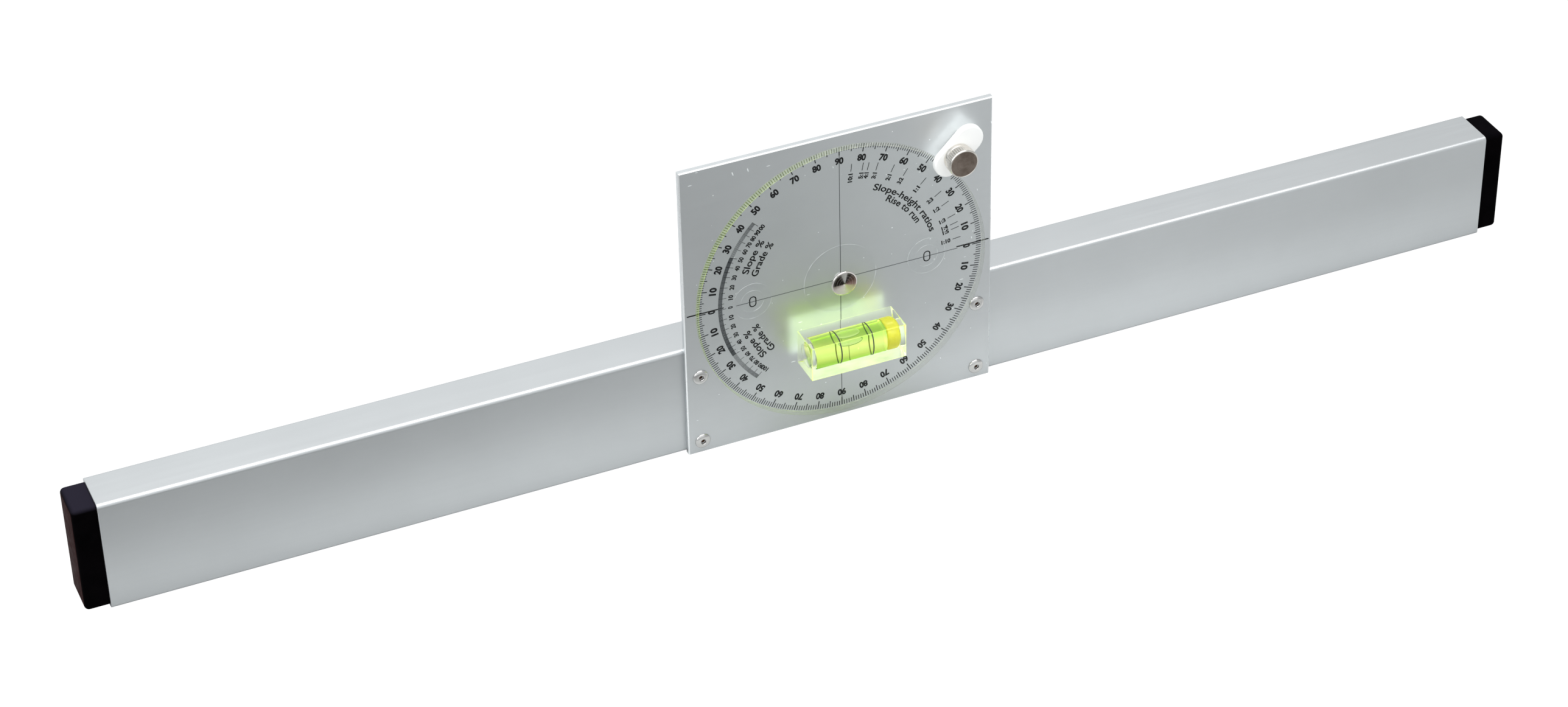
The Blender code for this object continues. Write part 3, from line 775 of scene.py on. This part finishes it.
class Sheet:
    """Flat ink in the plane of the dial; x to the right and z up from the dial axis."""

    def __init__(self, y):
        self.v, self.f, self.m, self.y = [], [], [], y

    def poly(self, pts, mat=0):
        k = len(self.v)
        self.v += [(CX + x, self.y, CZ + z) for x, z in pts]
        self.f.append(tuple(range(k, k + len(pts))))
        self.m.append(mat)

    def tick(self, deg, r0, r1, w, mat=0):
        a = math.radians(deg)
        c, s = math.cos(a), math.sin(a)
        h = w / 2
        self.poly([(r0 * c + h * s, r0 * s - h * c), (r1 * c + h * s, r1 * s - h * c),
                   (r1 * c - h * s, r1 * s + h * c), (r0 * c - h * s, r0 * s + h * c)], mat)

    def bar(self, x0, x1, z0, z1, mat=0):
        self.poly([(x0, z0), (x1, z0), (x1, z1), (x0, z1)], mat)

    def text(self, s, cap, bold, at, xdir, width=None, squeeze=1.0, mat=0):
        vs, fs, b = glyphs(s, bold)
        ky = cap / CAP_H
        kx = ky * squeeze if width is None else width / (b[1] - b[0])
        mx, my = (b[0] + b[1]) / 2, (CAP[2] + CAP[3]) / 2
        ux, uz = xdir
        k = len(self.v)
        for x, y in vs:
            p, q = (x - mx) * kx, (y - my) * ky
            self.v.append((CX + at[0] + p * ux - q * uz, self.y, CZ + at[1] + p * uz + q * ux))
        for f in fs:
            self.f.append(tuple(k + i for i in f))
            self.m.append(mat)

    def arc_text(self, s, cap, bold, r, deg, span, mat=0):
        """Text bent along a circle, tops outward, running clockwise."""
        vs, fs, b = glyphs(s, bold)
        ky = cap / CAP_H
        kx = math.radians(span) * r / (b[1] - b[0])
        mx, my = (b[0] + b[1]) / 2, (CAP[2] + CAP[3]) / 2
        k = len(self.v)
        for x, y in vs:
            t = math.radians(deg) - (x - mx) * kx / r
            rr = r + (y - my) * ky
            self.v.append((CX + rr * math.cos(t), self.y, CZ + rr * math.sin(t)))
        for f in fs:
            self.f.append(tuple(k + i for i in f))
            self.m.append(mat)

    def ring_shape(self, outer, inner, mat=0):
        n = len(outer)
        for i in range(n):
            j = (i + 1) % n
            self.poly([outer[i], outer[j], inner[j], inner[i]], mat)

    def build(self, name, mats):
        me = bpy.data.meshes.new(name)
        me.from_pydata([(x * MM, y * MM, z * MM) for x, y, z in self.v], [], self.f)
        me.polygons.foreach_set("material_index", self.m)
        for m in mats:
            me.materials.append(m)
        me.update()
        ob = bpy.data.objects.new(name, me)
        scene.collection.objects.link(ob)
        return ob


ink = Sheet(PRINT_Y)
for d in range(360):
    if d % 10 == 0:
        ink.tick(d, 56.4, 60.1, 0.42)
    elif d % 5 == 0:
        ink.tick(d, 57.2, 60.1, 0.38)
    else:
        ink.tick(d, 58.0, 60.1, 0.34)
for k in range(36):
    d = k * 10
    val = d if d <= 90 else (180 - d if d <= 180 else (d - 180 if d <= 270 else 360 - d))
    a = math.radians(d)
    ink.text(str(val), 2.7, 0.050, (53.9 * math.cos(a), 53.9 * math.sin(a)), (math.sin(a), -math.cos(a)),
             width=1.7 if val == 0 else 3.6)

# percent scale, both ways from the left-hand zero
for k in range(0, 201):
    for s in (-1, 1):
        p = k * 0.5
        if p > 50 and k % 2:
            continue
        if k == 0 and s > 0:
            continue
        d = 180 + s * math.degrees(math.atan(p / 100))
        if k % 20 == 0:
            r0 = 47.9
        elif k % 10 == 0 and p <= 50:
            r0 = 48.7
        else:
            r0 = 49.5
        ink.tick(d, r0, 51.2, 0.22 if p <= 50 else 0.20, 1 if r0 > 49 else 0)
for p in range(0, 101, 10):
    for s in (-1, 1):
        if p == 0 and s > 0:
            continue
        d = 180 + s * math.degrees(math.atan(p / 100))
        a = math.radians(d)
        ink.text(str(p), 1.8, 0.045, (46.1 * math.cos(a), 46.1 * math.sin(a)), (math.sin(a), -math.cos(a)),
                 width=(1.05 if p == 0 else 2.25 if p < 100 else 3.3))

# ratio scale, upper right
for label, d in (("10:1", 84.3), ("5:1", 78.7), ("4:1", 76.0), ("3:1", 71.6), ("2:1", 63.4), ("3:2", 56.3),
                 ("1:1", 45.0), ("2:3", 33.7), ("1:2", 26.6), ("1:3", 18.4), ("1:4", 14.0), ("1:5", 11.3),
                 ("1:10", 5.7)):
    ink.tick(d, 48.06, 51.5, 0.30)
    a = math.radians(d)
    r = 45.75 if len(label) == 3 else 45.2
    ink.text(label, 1.75, 0.050, (r * math.cos(a), r * math.sin(a)), (math.cos(a), math.sin(a)),
             width=2.75 if len(label) == 3 else 3.9)

for deg in (150.6, 208.8):
    ink.arc_text("Slope %", 2.8, 0.022, 42.0, deg, 21.0)
    ink.arc_text("Grade %", 2.8, 0.022, 37.8, deg, 23.5)
ink.arc_text("Slope-height ratios", 2.8, 0.022, 40.9, 42.8, 53.6)
ink.arc_text("Rise to run", 2.8, 0.022, 37.5, 42.8, 30.6)

# hairlines through the axis, and the outlined zeros on the level line
ink.bar(-43.7, -2.7, -0.14, 0.14, 1)
ink.bar(2.7, 50.0, -0.14, 0.14, 1)
ink.bar(-0.14, 0.14, 2.7, 56.4, 1)
ink.bar(-0.14, 0.14, -56.4, -2.7, 1)
for sx in (-36.8, 36.8):
    def egg(w, h):
        return [(sx + x, z) for x, z in rrect(w, h, w * 0.48, 8)]
    ink.ring_shape(egg(3.05, 4.9), egg(2.1, 3.95))
dial_print = ink.build("dial_print", [M_PRINT, M_PRINT_GREY])
dial_print.visible_glossy = False       # the matt plate behind doesn't mirror print this fine
place(dial_print, "dial")

marks = Sheet(PLATE_FRONT - 0.03)
marks.bar(-63.7, -48.5, -0.25, 0.25)
marks.bar(50.0, 64.0, -0.25, 0.25)
place(marks.build("index_print", [M_PRINT]), "bar")


# ------------------------------------------------------------------ vial
VX0, VX1 = VB0[0], VB1[0]
VYC, VZC = (VB0[1] + VB1[1]) / 2, (VB0[2] + VB1[2]) / 2


def vial_block():
    bm = box_bm(VB0, VB1)
    bevel_where(bm, lambda a, b: True, 0.32, 3, 1)
    for f in bm.faces:
        if f.calc_area() > 100 and f.normal.y > 0.9:
            f.material_index = 2               # cemented face: no air behind it to mirror light
        elif f.calc_area() > 100 and f.normal.z < -0.9:
            f.material_index = 3               # underside: painted glow, a patchy yellow-green emission
    bmesh.ops.recalc_face_normals(bm, faces=bm.faces)
    # thin air gap at the closed end of the bore: its skin faces inward, as air inside the plastic
    lathe(bm, (0, VYC, VZC), [(0, -17.55), (4.3, -17.5), (4.75, -17.35), (4.85, -17.2), (4.7, -17.1), (0, -17.05)], 72, axis="X")
    gap = [f for f in bm.faces if all(-17.6 < v.co.x < -17.0 for v in f.verts)]
    bmesh.ops.recalc_face_normals(bm, faces=gap)
    bmesh.ops.reverse_faces(bm, faces=gap)
    return obj_from_bm(bm, "vial_body", [M_VIAL, M_VIAL_EDGE, M_VIAL_BACK, M_VIAL_FOOT], 35, recalc=False)


place(vial_block(), "dial", ("vial_block",))

BR = 4.85


def vial_liquid():
    bm = bmesh.new()
    lathe(bm, (0, VYC, VZC), [(0, -16.6), (2.5, -16.75), (4.2, -16.9), (BR - 0.1, -16.8), (BR, -16.55), (BR, 12.3),
                             (BR - 0.15, 12.5), (0, 12.55)], 96, axis="X")
    return obj_from_bm(bm, "vial_fluid", M_LIQUID, 40)


place(vial_liquid(), "dial", ("vial_liquid",))


def vial_bubble():
    lo, hi = nbox("vial_bubble")
    bm = bmesh.new()
    bmesh.ops.create_uvsphere(bm, u_segments=48, v_segments=32, radius=1.0)
    c = [(lo[i] + hi[i]) / 2 for i in range(3)]
    s = [(hi[i] - lo[i]) / 2 for i in range(3)]
    for v in bm.verts:
        x, y, z = v.co
        # flatter on top where it lies against the bore, fuller below
        zz = z * (0.75 if z > 0 else 1.25)
        v.co = Vector((c[0] + math.copysign(abs(x) ** 0.86, x) * s[0], c[1] + y * s[1], c[2] + zz * s[2]))
    return obj_from_bm(bm, "vial_air", M_BUBBLE, 80)


place(vial_bubble(), "dial", ("vial_bubble",))

for tag in ("left", "right"):
    lo, hi = nbox("vial_ring_" + tag)
    xm = (lo[0] + hi[0]) / 2
    bm = bmesh.new()
    lathe(bm, (xm, VYC, VZC), [(BR + 0.03, -0.26), (BR + 0.14, -0.23), (BR + 0.14, 0.23), (BR + 0.03, 0.26)], 96,
          axis="X", closed=True)
    place(obj_from_bm(bm, "vial_line_" + tag, M_RING, 40), "dial", ("vial_ring_" + tag,))


def vial_plug():
    bm = bmesh.new()
    lathe(bm, (0, VYC, VZC), [(0, 12.7), (3.9, 12.75), (4.5, 12.9), (4.8, 13.3), (4.85, 16.4), (4.7, 17.2), (4.2, 17.9),
                             (3.4, 18.4), (2.2, 18.65), (0, 18.7)], 72, axis="X")
    return obj_from_bm(bm, "vial_stopper", M_PLUG, 45)


place(vial_plug(), "dial", ("vial_plug",))


# ------------------------------------------------------------------ pivot screw
def pivot():
    bm = bmesh.new()
    y0 = DISC_FRONT - 0.1
    prof = [(0, 1.22), (0.5, 1.20), (0.62, 1.28), (0.85, 1.30), (0.95, 1.255)]
    n = 9
    for k in range(n):                       # turned steps down the shallow cone
        r0 = 1.05 + (4.75 - 1.05) * k / n
        r1 = 1.05 + (4.75 - 1.05) * (k + 1) / n
        h0 = 1.27 - 0.24 * k / n
        h1 = 1.27 - 0.24 * (k + 1) / n
        prof += [(r0, h0), (r0 + (r1 - r0) * 0.72, h1 + 0.012), (r1 - 0.02, h1 - 0.012)]
    prof += [(4.80, 1.02), (5.05, 0.98), (5.27, 0.86), (5.35, 0.70), (5.35, 0.14), (5.25, 0.03), (5.1, 0.0), (2.5, 0.0),
             (2.5, -(PS1[1] - y0) + 0.4), (2.1, -(PS1[1] - y0)), (0, -(PS1[1] - y0))]
    prof = [(r, h * 0.72 if h > 0 else h) for r, h in prof]
    ncone = 5 + 3 * n
    lathe(bm, (CX, y0, CZ), prof, 96, mats=[1 if i < ncone else 0 for i in range(len(prof))])
    ob = obj_from_bm(bm, "pivot_head", [M_NICKEL, M_CONE], 30)
    ob.visible_glossy = False
    return ob


place(pivot(), "bar", ("pivot_screw",))

# ------------------------------------------------------------------ clamp finger and knob
KX, KZ = (KN0[0] + KN1[0]) / 2, (KN0[2] + KN1[2]) / 2
FCX = FCZ = None


def stadium(cx, cz, ang, length, width, inset, n=28):
    r = width / 2 - inset
    h = (length - width) / 2
    pts = []
    for k in range(n + 1):
        a = -PI / 2 + PI * k / n
        pts.append((h + r * math.cos(a), r * math.sin(a)))
    for k in range(n + 1):
        a = PI / 2 + PI * k / n
        pts.append((-h + r * math.cos(a), r * math.sin(a)))
    c, s = math.cos(ang), math.sin(ang)
    return [(cx + c * x - s * y, cz + s * x + c * y) for x, y in pts]


def finger():
    bm = bmesh.new()
    y0, y1 = DISC_FRONT - 0.3, FG0[1]
    ang = PI / 4
    fx, fz = (FG0[0] + FG1[0]) / 2 - 0.35, (FG0[2] + FG1[2]) / 2 + 0.35
    L, W = 23.9, 11.9

    def ring(y, inset):
        return [(x, y, z) for x, z in stadium(fx, fz, ang, L, W, inset)]
    loops = [ring(y0, 0.25), ring(y0 - 0.08, 0.06), ring(y0 - 0.25, 0.0)]
    rr = 0.62
    for k in range(0, 8):
        a = PI / 2 * k / 7
        loops.append(ring(y1 + rr - rr * math.sin(a), rr - rr * math.cos(a)))
    loft(bm, loops, cap0=True, cap1=True)
    r0, r1 = 62.1, 74.5
    rc = (r0 + r1) / 2
    hx, hz = CX + rc * math.cos(ang), CZ + rc * math.sin(ang)
    yb = PLATE_FRONT - 0.3

    def heel(y, inset):
        return [(x, y, z) for x, z in stadium(hx, hz, ang, r1 - r0, 5.4, inset)]
    loft(bm, [heel(y0 - 0.6, 0), heel(yb - 0.3, 0), heel(yb, 0.3)], cap0=True, cap1=True)
    return obj_from_bm(bm, "clamp_arm", M_WHITE_GLOWING, 40)


place(finger(), "finger", ("clamp_finger",))


def knob():
    bm = bmesh.new()
    yb = FG0[1] - 0.1                      # seat on the finger
    teeth, per = 40, 8
    seg = teeth * per

    def ring(h, r, depth=0.0):
        out = []
        for k in range(seg):
            t = 2 * PI * k / seg
            ph = (k % per) / per
            tri = 1 - abs(2 * ph - 1)      # 0 at the groove, 1 at the crest
            d = depth * (1 - min(1.0, tri * 1.55))
            out.append((KX + (r - d) * math.cos(t), yb - h, KZ + (r - d) * math.sin(t)))
        return out
    top = yb - KN0[1]                      # full height
    rows = [ring(0.0, 5.4), ring(0.08, 5.6), ring(0.25, 5.75), ring(1.68, 5.75), ring(1.78, 5.7), ring(1.95, 5.82, 0.05),
            ring(2.15, 6.0, 0.34), ring(3.5, 6.0, 0.34), ring(5.15, 6.0, 0.34), ring(5.35, 5.97, 0.10), ring(5.45, 5.98, 0.0),
            ring(top - 0.42, 5.98), ring(top - 0.20, 5.90), ring(top - 0.05, 5.74), ring(top, 5.58)]
    face = [(5.42, -0.10), (5.3, -0.13), (4.4, -0.11), (3.2, -0.14), (2.0, -0.12), (1.0, -0.15), (0.35, -0.13)]
    for r, dh in face:
        rows.append(ring(top + dh, r))
    vs = [add_loop(bm, r) for r in rows]
    nb = 15
    for i, (a, b) in enumerate(zip(vs, vs[1:])):
        bridge(bm, a, b, 1 if i >= nb else 0)
    bm.faces.new(vs[-1]).material_index = 1
    bm.faces.new(list(reversed(vs[0])))
    # screw shank through the plate
    ys = KN1[1]
    sh = []
    for r, y in ((2.0, yb - 0.05), (2.0, ys - 0.4), (1.6, ys)):
        sh.append([(KX + r * math.cos(2 * PI * k / 24), y, KZ + r * math.sin(2 * PI * k / 24)) for k in range(24)])
    loft(bm, sh, cap0=True, cap1=True)
    return obj_from_bm(bm, "clamp_grip", [M_KNOB, M_FACE], 28)


place(knob(), "knob", ("clamp_knob",))

# ------------------------------------------------------------------ floor
bm = bmesh.new()
bmesh.ops.create_grid(bm, x_segments=1, y_segments=1, size=8.0)
me = bpy.data.meshes.new("floor")
bm.to_mesh(me)
bm.free()
floor = bpy.data.objects.new("floor", me)
floor.location = (0, 0, -0.0002)
scene.collection.objects.link(floor)
m, nt, p = new_mat("floor_white")
lp = nt.nodes.new("ShaderNodeLightPath")
tc = nt.nodes.new("ShaderNodeTexCoord")
sx = nt.nodes.new("ShaderNodeSeparateXYZ")
nt.links.new(tc.outputs["Object"], sx.inputs[0])
# painted shade: the floor colour, seen by reflections and bounced light, is darker further in front of the bar and
# changes from left to right, with a lighter patch front right; camera rays see mostly a plain bright emission
depth = remap(nt, sx.outputs["Y"], -0.20, 0.0, 0.0, 1.0)
tone = ramp(nt, depth, [(0.0, (0.27, 0.275, 0.275)), (0.5, (0.30, 0.305, 0.305)), (0.72, (0.42, 0.425, 0.425)),
                        (0.82, (0.58, 0.59, 0.59)), (0.9, (0.62, 0.63, 0.63)), (1.0, (0.60, 0.61, 0.61))])
across = math_node(nt, "ADD", remap(nt, sx.outputs["X"], -0.30, 0.08, 0.78, 1.06),
                   remap(nt, sx.outputs["X"], 0.10, 0.32, 0.0, -0.20))
right = math_node(nt, "MULTIPLY", remap(nt, sx.outputs["X"], 0.05, 0.13, 0.0, 0.70),
                  remap(nt, sx.outputs["Y"], -0.11, -0.06, 1.0, 0.0))
tone = mixc(nt, 1.0, tone, math_node(nt, "ADD", across, right), "MULTIPLY")
nt.links.new(tone, p.inputs["Base Color"])
p.inputs["Roughness"].default_value = 0.9
p.inputs["Specular IOR Level"].default_value = 0.0
em = nt.nodes.new("ShaderNodeEmission")
em.inputs["Color"].default_value = (1, 1, 1, 1)
em.inputs["Strength"].default_value = 1.15
mx = nt.nodes.new("ShaderNodeMixShader")
nt.links.new(math_node(nt, "MULTIPLY", lp.outputs["Is Camera Ray"], 0.93), mx.inputs["Fac"])
nt.links.new(p.outputs[0], mx.inputs[1])
nt.links.new(em.outputs[0], mx.inputs[2])
nt.links.new(mx.outputs[0], nt.nodes["Material Output"].inputs["Surface"])
me.materials.append(m)

# ------------------------------------------------------------------ light
world = bpy.data.worlds.new("studio")
scene.world = world
world.use_nodes = True
wn = world.node_tree
bg = wn.nodes["Background"]
tc = wn.nodes.new("ShaderNodeTexCoord")
sx = wn.nodes.new("ShaderNodeSeparateXYZ")
wn.links.new(tc.outputs["Generated"], sx.inputs[0])
rp = wn.nodes.new("ShaderNodeValToRGB")
e = rp.color_ramp.elements
e[0].position, e[0].color = 0.0, (0.80, 0.82, 0.84, 1)
e[1].position, e[1].color = 1.0, (1.0, 1.0, 1.0, 1)
k = e.new(0.45)
k.color = (1.0, 1.02, 1.03, 1)
wn.links.new(sx.outputs["Z"], rp.inputs["Fac"])
flag = remap(wn, sx.outputs["X"], 0.31, 0.57, 1.0, 0.55)
wn.links.new(mixc(wn, 1.0, rp.outputs["Color"], flag, "MULTIPLY"), bg.inputs["Color"])
bg.inputs["Strength"].default_value = 1.12


def area(name, loc, target, sx_, sy_, power, colour=(1, 1, 1)):
    li = bpy.data.lights.new(name, "AREA")
    li.shape = "RECTANGLE"
    li.size, li.size_y = sx_, sy_
    li.energy = power
    li.color = colour
    ob = bpy.data.objects.new(name, li)
    ob.location = loc
    d = Vector(target) - Vector(loc)
    ob.rotation_euler = d.to_track_quat("-Z", "Y").to_euler()
    scene.collection.objects.link(ob)
    return ob


area("light_top", (0.0, -0.15, 1.5), (0, 0, 0.05), 1.7, 0.9, 22)
area("light_left", (-1.5, -0.6, 0.9), (0, 0, 0.05), 0.9, 0.9, 6)

glow = bpy.data.lights.new("light_vial_glow", "AREA")
glow.shape = "RECTANGLE"
glow.size, glow.size_y = 0.040, 0.017
glow.color = (0.84, 1.0, 0.84)
glow.energy = 0.95 * PI * glow.size * glow.size_y
gl_ob = bpy.data.objects.new("light_vial_glow", glow)
gl_ob.rotation_euler = (math.radians(90), 0, 0)      # shines towards +Y, onto the plate
gl_ob.location = (0, (DISC_FRONT - 0.05) * MM, VZC * MM)
scene.collection.objects.link(gl_ob)
gl_ob.parent = frame["bodies"]["dial"]

# the white finger lights the plate under it in the same way
sheen = bpy.data.lights.new("light_finger_glow", "AREA")
sheen.shape = "RECTANGLE"
sheen.size, sheen.size_y = 0.022, 0.0105
sheen.color = (0.97, 1.0, 1.0)
sheen.energy = 0.85 * PI * sheen.size * sheen.size_y
sh_ob = bpy.data.objects.new("light_finger_glow", sheen)
sh_ob.matrix_world = (Matrix.Translation(((FG0[0] + FG1[0]) / 2 * MM, (DISC_FRONT - 0.25) * MM, (FG0[2] + FG1[2]) / 2 * MM))
                      @ Matrix.Rotation(-PI / 4, 4, "Y") @ Matrix.Rotation(math.radians(90), 4, "X"))
scene.collection.objects.link(sh_ob)
sh_ob.parent = frame["bodies"]["finger"]
sh_ob.matrix_parent_inverse = frame["bodies"]["finger"].matrix_world.inverted()

# ------------------------------------------------------------------ camera at the photograph's place
psi, eps, roll = math.radians(23.716), math.radians(33.895), math.radians(-0.753)
fw = Vector((math.sin(psi) * math.cos(eps), math.cos(psi) * math.cos(eps), -math.sin(eps)))
r = Vector((math.cos(psi), -math.sin(psi), 0))
u = r.cross(fw)
r2 = r * math.cos(roll) + u * math.sin(roll)
u2 = u * math.cos(roll) - r * math.sin(roll)
pos = Vector((2.54, 0, 72.51)) - fw * 1497.6
cam = bpy.data.cameras.new("camera")
cam.sensor_fit = "HORIZONTAL"
cam.sensor_width = 36
cam.lens = 36 * 6349.8 / 2576
cam.shift_x = (1288 - 1367) / 2576
cam.shift_y = (400 - 581) / 2576
cam.clip_start = 0.01
cam.clip_end = 50
cam.dof.use_dof = False
co = bpy.data.objects.new("camera", cam)
mw = Matrix.Identity(4)
for i in range(3):
    mw[i][0], mw[i][1], mw[i][2], mw[i][3] = r2[i], u2[i], -fw[i], pos[i] * MM
co.matrix_world = mw
scene.collection.objects.link(co)
scene.camera = co
scene.view_settings.view_transform = "Standard"
scene.view_settings.look = "None"
scene.view_settings.exposure = 0
scene.view_settings.gamma = 1
